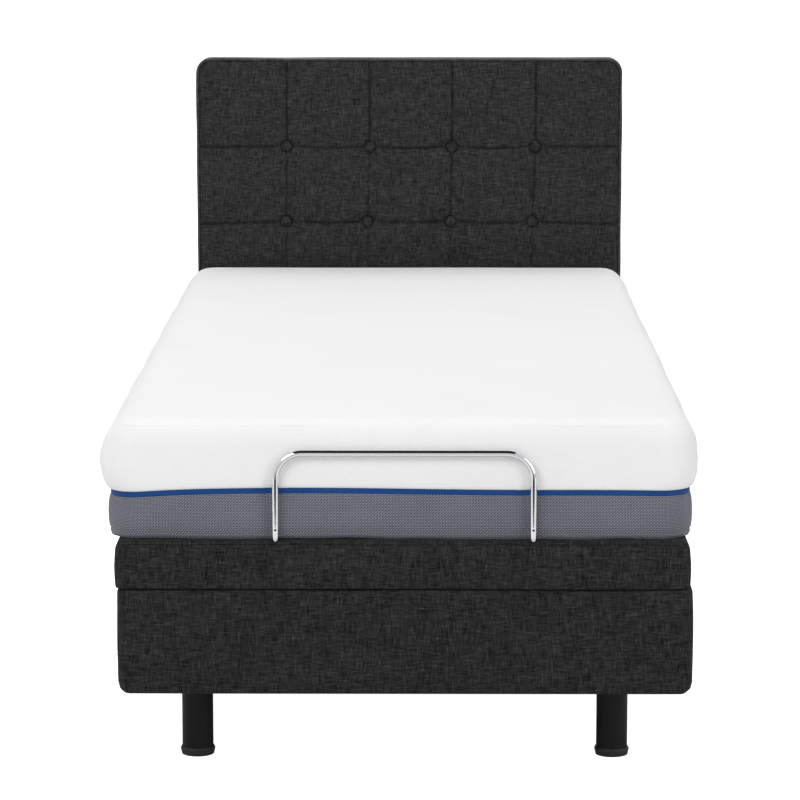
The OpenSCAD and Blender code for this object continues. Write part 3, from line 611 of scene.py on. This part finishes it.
# ---------------------------------------------------------------- mattress
def make_mattress():
    """One flexible mattress in three lengths."""
    lo = np.minimum(corners("mattress_calf")[0], corners("mattress_back")[0])
    hi = np.maximum(corners("mattress_calf")[1], corners("mattress_back")[1])
    first_cut, second_cut = 783 * MM + FOOT_Y, 1061 * MM + FOOT_Y
    tape_lo, tape_mid, tape_hi = 444.5 * MM, 449 * MM, 453.5 * MM
    plan_r, top_r, low_r = 55 * MM, 40 * MM, 12 * MM
    edge = mm(0, 3, 8, 14, 21, 29, 40, 55)
    bar_x = corners("retainer_bar")[1][0] - BAR_R
    beside = [k * bar_x + o * MM for k in (-1, 1) for o in both_ways((3, 7, 10, 13, 18, 26))]
    xs = lines(lo[0], hi[0], 14 * MM, edge, beside)
    tape = [tape_lo + o for o in mm(-2, -0.8, 0, 1, 3)]
    tape += [tape_hi + o for o in mm(-3, -1, 0, 0.8, 2, 5)]
    zs = lines(lo[2], hi[2], 7 * MM, mm(0, 1.2, 3.2, 5.8, 8.8, 12, 17), tape)
    # (height, how far the side stands out there) up the side, in millimetres
    side_profile = np.array([
        (377.5, -5), (378.7, -3.4), (380.7, -2.4), (383.3, -3), (386.3, -5.4), (389.5, -2.8),
        (394.5, -2), (412, -1.4), (434, -2.6), (443.6, -4.2), (444.5, -6.6), (446, -4.8),
        (449, -4.2), (452, -4.8), (453.5, -6.6), (454.4, -2.2), (459, 2.4), (470, 7.4),
        (488, 10.2), (505, 9), (523, 5.6), (540, 2), (562, -0.5),
    ]) * MM
    # each span's name, ends, cut sides and the CAD nodes that it stands for
    spans = (
        ("foot", lo[1], first_cut, (HIGH_Y,), ("mattress_calf", "mattress_thigh")),
        ("middle", first_cut, second_cut, (LOW_Y, HIGH_Y), ("mattress_seat",)),
        ("head", second_cut, hi[1], (LOW_Y,), ("mattress_back",)),
    )
    for span, y0, y1, cut_sides, nodes in spans:
        offsets = edge if span != "middle" else (0,)
        ys = lines(y0, y1, 15 * MM, offsets)
        grid, quads, sides = box_grid(xs, ys, zs)
        uv = wrap_uv(grid, quads, sides, lo, hi)
        moved, inset, out = rounded(grid, lo, hi, plan_r, top_r, low_r)
        z = grid[:, 2]
        stand = np.interp(z, *side_profile.T)
        # the ends stay nearly straight: the bar lies against the foot end
        across = np.abs(out[:, 0])
        reach = across + (1 - across) * np.where(stand > 0, 0.12, 0.6)
        skin = inset < TINY
        cut = np.isin(sides, cut_sides)
        lump = ripple(grid, 0.22, 11) * 1.1 * MM + ripple(grid, 0.07, 12) * 0.35 * MM
        lump *= np.where(out[:, 1] < -0.5, 0.45, 1.0)
        calm = 1 - bell(z - tape_mid, 8 * MM) * 0.7
        moved[:, :2] += out * ((stand * reach + lump * calm) * skin)[:, None]
        # grey border presses in behind the bar's two legs
        at_foot = skin & (out[:, 1] < -0.9)
        for side in (-1, 1):
            off = np.abs(grid[:, 0] - side * bar_x)
            crease = 1.6 * MM * bell(off, 9 * MM) - 0.9 * MM * bell(off - 14 * MM, 4 * MM)
            grey = np.clip((470 * MM - z) / (14 * MM), 0, 1)
            moved[:, 1] += at_foot * crease * grey
        # top: a shallow crown and a soft drape towards the edges
        top = z > hi[2] - TINY
        crown = np.clip(inset / (200 * MM), 0, 1)
        level = ripple(grid, 0.35, 14) * 1.1 * MM - 1.5 * MM
        level *= smooth(np.clip(inset / (90 * MM), 0, 1))
        moved[:, 2] += top * (smooth(crown) * 3.0 * MM + level)
        # the tape dips at the foot corners, and the lower edge wavers
        rel = grid[:, 1] - lo[1]
        near_foot = bell(rel, 0.3)
        dip = -5.5 * MM * bell(grid[:, 0] - lo[0], 90 * MM) * near_foot
        dip -= 1.5 * MM * bell(grid[:, 0] - hi[0], 120 * MM) * near_foot
        dip += ripple(grid * [1, 1, 0], 0.5, 15) * 1.1 * MM
        dip -= 1.3 * MM * np.clip(grid[:, 0] / 0.2, -1, 1) * near_foot
        moved[:, 2] += dip * bell(z - tape_mid, 26 * MM)
        low = np.clip(1 - (z - lo[2]) / (16 * MM), 0, 1)
        rim = np.clip(1 - inset / (30 * MM), 0, 1)
        moved[:, 2] += low * rim * (-5.5 * MM + ripple(grid * [1, 1, 0], 0.13, 16) * 1.2 * MM)
        # it lies a little to one side, and fuller on that side
        moved[:, 0] *= 1 - 0.009 * np.clip((grid[:, 1] - lo[1]) / (hi[1] - lo[1]), 0, 1)
        moved[:, 0] += np.interp(z, mm(450, 485, 505, 545), mm(-7, -10, -9.5, -4.8))
        # white knit above the tape, grey mesh below it
        zc = z[quads].mean(1)
        which = np.where((zc > tape_lo) & (zc < tape_hi), 2, np.where(zc < tape_lo, 1, 0))
        cloths = [white_knit, grey_mesh, blue_tape]
        part = piece(f"mattress_{span}", moved, quads, uv, cloths, which, cut)
        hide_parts(*nodes)
        if span == "head":
            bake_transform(part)
        elif span == "middle":
            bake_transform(part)
        else:
            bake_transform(part)


# ---------------------------------------------------------------- headboard
def upholster_headboard():
    """Boxed, deep-buttoned panel: seams between the buttons, soft puffs, a seam round the front."""
    pad_lo, pad_hi = corners("headboard_pad")
    button_lo, button_hi = corners("headboard_buttons")
    back_y = corners("headboard_board")[1][1]
    deep = back_y - pad_lo[1]
    lo = np.array([pad_lo[0], pad_lo[2], 0.0])
    hi = np.array([pad_hi[0], pad_hi[2], deep])
    columns = [c * MM for c in (-261, -87, 87, 261)]
    rows = [button_lo[2] + BUTTON_R, button_hi[2] - BUTTON_R]
    seam = 5 * MM
    fine = both_ways((0.7, 1.5, 2.8, 4.5, 7, 10, 12.5, 14.5, 17, 22, 30))
    edge = mm(0, 0.8, 1.8, 3, 4.2, 5, 5.8, 8, 12, 17, 24, 32)
    xs = lines(lo[0], hi[0], 9 * MM, edge, [c + f * MM for c in columns for f in fine])
    ys = lines(lo[1], hi[1], 9 * MM, edge, [r + f * MM for r in rows for f in fine])
    zs = lines(lo[2], hi[2], 7 * MM, mm(0, 0.8, 1.8, 3, 5, 8))
    grid, quads, sides = box_grid(xs, ys, zs)
    uv = wrap_uv(grid, quads, sides, lo, hi)
    moved, inset, out = rounded(grid, lo, hi, plan_r=31 * MM, top_r=8 * MM, low_r=3 * MM)
    front = grid[:, 2] > hi[2] - TINY
    x, y = grid[:, 0], grid[:, 1]
    # horizontal seams hang a little between the buttons
    nearest_row = np.argmin([np.abs(y - r) for r in rows], 0)
    row_y = np.array(rows)[nearest_row]
    hang = -2.4 * MM * np.sin(math.pi * (x - columns[0]) / (columns[1] - columns[0])) ** 2
    hang += ripple(np.column_stack([x, nearest_row * 3.0, y * 0]), 0.3, 21) * 1.2 * MM
    beyond = np.clip((np.abs(x) - columns[-1]) / (hi[0] - columns[-1]), 0, 1)
    hang = hang * (beyond == 0) - np.where(nearest_row == 0, 5.5, 0.8) * MM * beyond**0.7
    moved[:, 1] += front * hang * bell(y - row_y, 45 * MM)
    nearest_column = np.argmin([np.abs(x - c) for c in columns], 0)
    column_x = np.array(columns)[nearest_column]
    # no two buttons are quite in line, and the upright seams lean between them
    shift = np.array(BUTTON_SHIFTS)[nearest_column] * MM
    part_way = np.clip((y - rows[0]) / (rows[1] - rows[0]), 0, 1)
    lean = shift[:, 0] * (1 - part_way) + shift[:, 1] * part_way
    lean += ripple(np.column_stack([nearest_column * 3.0, y, y * 0]), 0.4, 22) * 0.9 * MM
    moved[:, 0] += front * lean * bell(x - column_x, 60 * MM)
    inside = np.clip((inset - seam) / (4 * MM), 0, 1)
    dv, dh = np.abs(x - column_x), np.abs(y - row_y)
    button = np.hypot(dv, dh)
    above = y > rows[1]
    below = y < rows[0]
    vertical = np.where(above, 1.0, np.where(below, 0.6, 0.8))
    drop = 4.0 * MM * vertical * np.exp(-dv / (20 * MM)) + 4.5 * MM * vertical * bell(dv, 2.0 * MM)
    drop += 5.0 * MM * np.exp(-dh / (22 * MM)) + 5.5 * MM * bell(dh, 2.2 * MM)
    by_button = np.exp(-button / (26 * MM))
    drop += 5.5 * MM * by_button
    angle = np.arctan2(y - row_y, x - column_x)
    pucker = np.sin(angle * 9 + nearest_column * 2.1 + nearest_row) * by_button
    drop += 0.5 * MM * pucker * np.clip(button / (12 * MM), 0, 1)
    drop = np.minimum(drop, 13 * MM)
    pocket = np.clip((BUTTON_R + 3 * MM - button) / (2.5 * MM), 0, 1)
    drop = drop * (1 - pocket) + 18 * MM * pocket
    rim = 3.2 * MM * np.exp(-np.clip(inset - seam, 0, None) / (16 * MM))
    soft = ripple(grid, 0.13, 23) * 0.7 * MM + ripple(grid, 0.045, 24) * 0.25 * MM
    moved[:, 2] += front * (inside * (soft - drop) - rim * (inset >= seam) + 1.5 * MM * inside)
    moved[:, 2] -= front * 1.9 * MM * bell(inset - seam, 1.1 * MM)
    moved[:, 2] -= front * rim * (inset < seam) * np.clip(inset / seam, 0, 1) * 0.5
    side_skin = (inset < TINY) & (grid[:, 2] > TINY) & ~front
    moved[:, :2] += out * (side_skin * (ripple(grid, 0.15, 25) * 0.7 * MM + 0.7 * MM))[:, None]
    world = np.column_stack([moved[:, 0], back_y - moved[:, 2], moved[:, 1]])
    hem, border = 26 * MM, 3.6 * MM
    at = grid[quads].mean(1)
    reach = np.minimum(at - lo, hi - at)[:, :2].min(1)
    # the grid's TOP is the headboard's front, its BOTTOM the back
    which = ((sides == BOTTOM) & (reach > hem)).astype(int)
    # the four sides and a thin strip round the front take the border cloth, whose lighter colour is
    # a painted highlight
    which = np.where((sides < BOTTOM) | ((sides == TOP) & (reach < border)), 2, which)
    cloths = [headboard_linen, finishes["dust"], border_painted_highlight_linen]
    cover = piece("headboard_cover", world, quads, uv, cloths, which)
    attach(cover, "base")
    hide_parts("headboard_pad", "headboard_board")

    # covered buttons: a crimped rim and a low dome
    profile = [
        (0, 5.6), (3, 5.5), (6, 4.9), (8.5, 3.7), (10.2, 2.1),
        (11.2, 0.2), (11.5, -1.4), (11.0, -3.2), (9.5, -4.4), (0, -4.6),
    ]
    turns = 40
    points, faces = [], []
    for i, column in enumerate(columns):
        for j, cz in enumerate(rows):
            cx = column + BUTTON_SHIFTS[i][j] * MM
            base = len(points)
            depth = pad_lo[1] + BUTTON_DEPTH
            for r, h in profile:
                for k in range(turns if r else 1):
                    a = 2 * math.pi * k / turns
                    crimp = 1 + 0.012 * math.sin(7 * a + cx * 90) * (r > 8)
                    reach_x, reach_z = (r * MM * crimp * f(a) for f in (math.cos, math.sin))
                    points.append((cx + reach_x, depth - h * MM, cz + reach_z))
            rings = [base] + [base + 1 + turns * n for n in range(len(profile) - 2)]
            end = base + 1 + turns * (len(profile) - 2)
            for k in range(turns):
                n = (k + 1) % turns
                faces.append((base, rings[1] + k, rings[1] + n))
                for a, b in zip(rings[1:], rings[2:]):
                    faces.append((a + k, b + k, b + n, a + n))
                faces.append((rings[-1] + k, end, rings[-1] + n))
    mesh = bpy.data.meshes.new("headboard_covered_buttons")
    mesh.from_pydata(points, [], faces)
    layer = mesh.uv_layers.new(name="cloth")
    for loop in mesh.loops:
        co = mesh.vertices[loop.vertex_index].co
        layer.data[loop.index].uv = (co.x + 0.31, co.z + 0.17)
    mesh.materials.append(headboard_linen)
    mesh.polygons.foreach_set("use_smooth", np.ones(len(mesh.polygons), bool))
    mesh.validate()
    buttons = new_object("headboard_covered_buttons", mesh)
    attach(buttons, "base")
    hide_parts("headboard_buttons")


# ---------------------------------------------------------------- retainer bar
def bend_bar():
    """The chrome bar as one bent tube, its ends running back under the mattress."""
    lo, hi = corners("retainer_bar")
    r = BAR_R
    half, front = hi[0] - r, lo[1] + r
    top, low, tail = hi[2] - r, lo[2] + r, hi[1]
    bend, elbow = 42 * MM, 12 * MM
    hole_z, hole_r, hole_sides = 391.5 * MM, 1.9 * MM, 12
    path = []

    def straight(a, b, n):
        path.extend(Vector(a).lerp(Vector(b), k / n) for k in range(n))

    def curve(centre, u, v, radius, n):
        for k in range(n):
            a = math.pi / 2 * k / n
            way = Vector(u) * math.cos(a) + Vector(v) * math.sin(a)
            path.append(Vector(centre) + way * radius)

    straight((-half, tail, low), (-half, front + elbow, low), 4)
    curve((-half, front + elbow, low + elbow), (0, 0, -1), (0, -1, 0), elbow, 10)
    straight((-half, front, low + elbow), (-half, front, top - bend), 6)
    curve((-half + bend, front, top - bend), (-1, 0, 0), (0, 0, 1), bend, 16)
    straight((-half + bend, front, top), (half - bend, front, top), 8)
    curve((half - bend, front, top - bend), (0, 0, 1), (1, 0, 0), bend, 16)
    straight((half, front, top - bend), (half, front, low + elbow), 6)
    curve((half, front + elbow, low + elbow), (0, -1, 0), (0, 0, -1), elbow, 10)
    straight((half, front + elbow, low), (half, tail, low), 4)
    path.append(Vector((half, tail, low)))
    turns = 28
    points = []
    last = len(path) - 1
    tangents = [
        (path[min(i + 1, last)] - path[max(i - 1, 0)]).normalized() for i in range(len(path))
    ]
    normal = tangents[0].orthogonal().normalized()
    for i, (p, t) in enumerate(zip(path, tangents)):
        if i:
            normal = tangents[i - 1].rotation_difference(t) @ normal
        other = t.cross(normal)
        for k in range(turns):
            a = 2 * math.pi * k / turns
            points.append(p + (normal * math.cos(a) + other * math.sin(a)) * r)
    faces = []
    for a in range(0, last * turns, turns):
        b = a + turns
        for k in range(turns):
            n = (k + 1) % turns
            faces.append((a + n, b + n, b + k, a + k))
    faces.append(tuple(range(turns)))
    faces.append(tuple(reversed(range(last * turns, len(path) * turns))))
    # a black disc low on each leg of the bar: painted shade standing for the dark inside of a small
    # hole
    walls = len(faces)
    for x in (-half, half):
        first = len(points)
        second = first + hole_sides
        for y in (front - r - 0.15 * MM, front - r + 1.5 * MM):
            for k in range(hole_sides):
                a = 2 * math.pi * k / hole_sides
                points.append(Vector((x + hole_r * math.cos(a), y, hole_z + hole_r * math.sin(a))))
        for k in range(hole_sides):
            n = (k + 1) % hole_sides
            faces.append((first + k, first + n, second + n, second + k))
        faces += [tuple(range(first, second)), tuple(range(second, second + hole_sides))]
    mesh = bpy.data.meshes.new("retainer_bar_tube")
    mesh.from_pydata([tuple(p) for p in points], [], faces)
    mesh.materials.append(chrome)
    mesh.materials.append(finishes["leg_paint"])
    # the hole discs take the black leg paint as painted shade
    for polygon in mesh.polygons[walls:]:
        polygon.material_index = 1
    bm = bmesh.new()
    bm.from_mesh(mesh)
    bmesh.ops.recalc_face_normals(bm, faces=bm.faces)
    for f in bm.faces:
        f.smooth = len(f.verts) == 4
    bm.to_mesh(mesh)
    bm.free()
    bar = new_object("retainer_bar_tube", mesh)
    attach(bar, "calf")
    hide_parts("retainer_bar")


upholster_surround()
upholster_deck("calf_pad", "calf", low_notch=0, high_notch=0, seed=41)
upholster_deck("thigh_pad", "thigh", low_notch=0, high_notch=18.5, seed=51)
upholster_deck("seat_pad", "base", low_notch=18.5, high_notch=31, seed=61)
upholster_deck("back_pad", "back", low_notch=31, high_notch=0, seed=71)
make_mattress()
upholster_headboard()
bend_bar()


# ---------------------------------------------------------------- light, floor, camera
def area(name, at, aim, size, power):
    data = bpy.data.lights.new(name, "AREA")
    data.shape, data.size, data.size_y, data.energy = "RECTANGLE", size[0], size[1], power
    lamp = new_object(name, data)
    lamp.location = at
    lamp.rotation_euler = (Vector(aim) - Vector(at)).to_track_quat("-Z", "Y").to_euler()


area("key", (-2.6, -3.9, 3.4), (0, -0.4, 0.5), (2.2, 1.8), 78)
area("fill", (3.4, -3.4, 1.8), (0, -0.2, 0.5), (1.6, 2.4), 36)
area("top", (-0.2, 1.3, 4.2), (0, 0.5, 0.4), (3.0, 3.0), 58)
world = bpy.data.worlds.new("studio")
scene.world = world
world.use_nodes = True
nodes, links = world.node_tree.nodes, world.node_tree.links
ROOM_LIGHT = 0.655

# the camera sees a plain white studio, brighter than the light it gives
brightness = nodes.new("ShaderNodeMath")
brightness.operation = "MAXIMUM"
brightness.inputs[1].default_value = ROOM_LIGHT
links.new(nodes.new("ShaderNodeLightPath").outputs["Is Camera Ray"], brightness.inputs[0])
links.new(brightness.outputs[0], nodes["Background"].inputs["Strength"])
nodes["Background"].inputs["Color"].default_value = (1, 1, 1, 1)

bm = bmesh.new()
bmesh.ops.create_grid(bm, x_segments=8, y_segments=8, size=40)
mesh = bpy.data.meshes.new("floor")
bm.to_mesh(mesh)
bm.free()
floor = new_object("floor", mesh)
paper = Shader("floor_paper", Base_Color=(0.8, 0.8, 0.8, 1), Roughness=0.9)
white = paper.math("MULTIPLY", paper.add("LightPath").outputs["Is Camera Ray"], 0.96)
paper.feed(paper.bsdf, {"Emission_Color": (1, 1, 1, 1), "Emission_Strength": white})
mesh.materials.append(paper.material)

# black cards that only reflections see, as in a studio: one on the floor before the bed draws the
# dark line in the bar's legs, one overhead the dark upper half of its top tube
bm = bmesh.new()
for half, y0, y1, z in ((1.6, -2.9, -4.4, 0.004), (1.05, -6.4, 8.0, 2.6)):
    around = ((-half, y0), (half, y0), (half, y1), (-half, y1))
    bm.faces.new([bm.verts.new((x, y, z)) for x, y in around])
mesh = bpy.data.meshes.new("black_card")
bm.to_mesh(mesh)
bm.free()
black = Shader("black_card", Base_Color=(0.01, 0.01, 0.01, 1), Roughness=0.9)
mesh.materials.append(black.material)
card = new_object("black_card", mesh)
card.visible_camera = card.visible_diffuse = card.visible_shadow = False
card.visible_transmission = card.visible_volume_scatter = False

camera = new_object("camera", bpy.data.cameras.new("camera"))
camera.location = (0.026, -6.1895, 1.445)
camera.rotation_euler = (math.radians(80.66), 0, math.radians(0.364))
camera.data.sensor_width = 36
camera.data.lens = 152.1
scene.camera = camera
scene.view_settings.view_transform = "Standard"
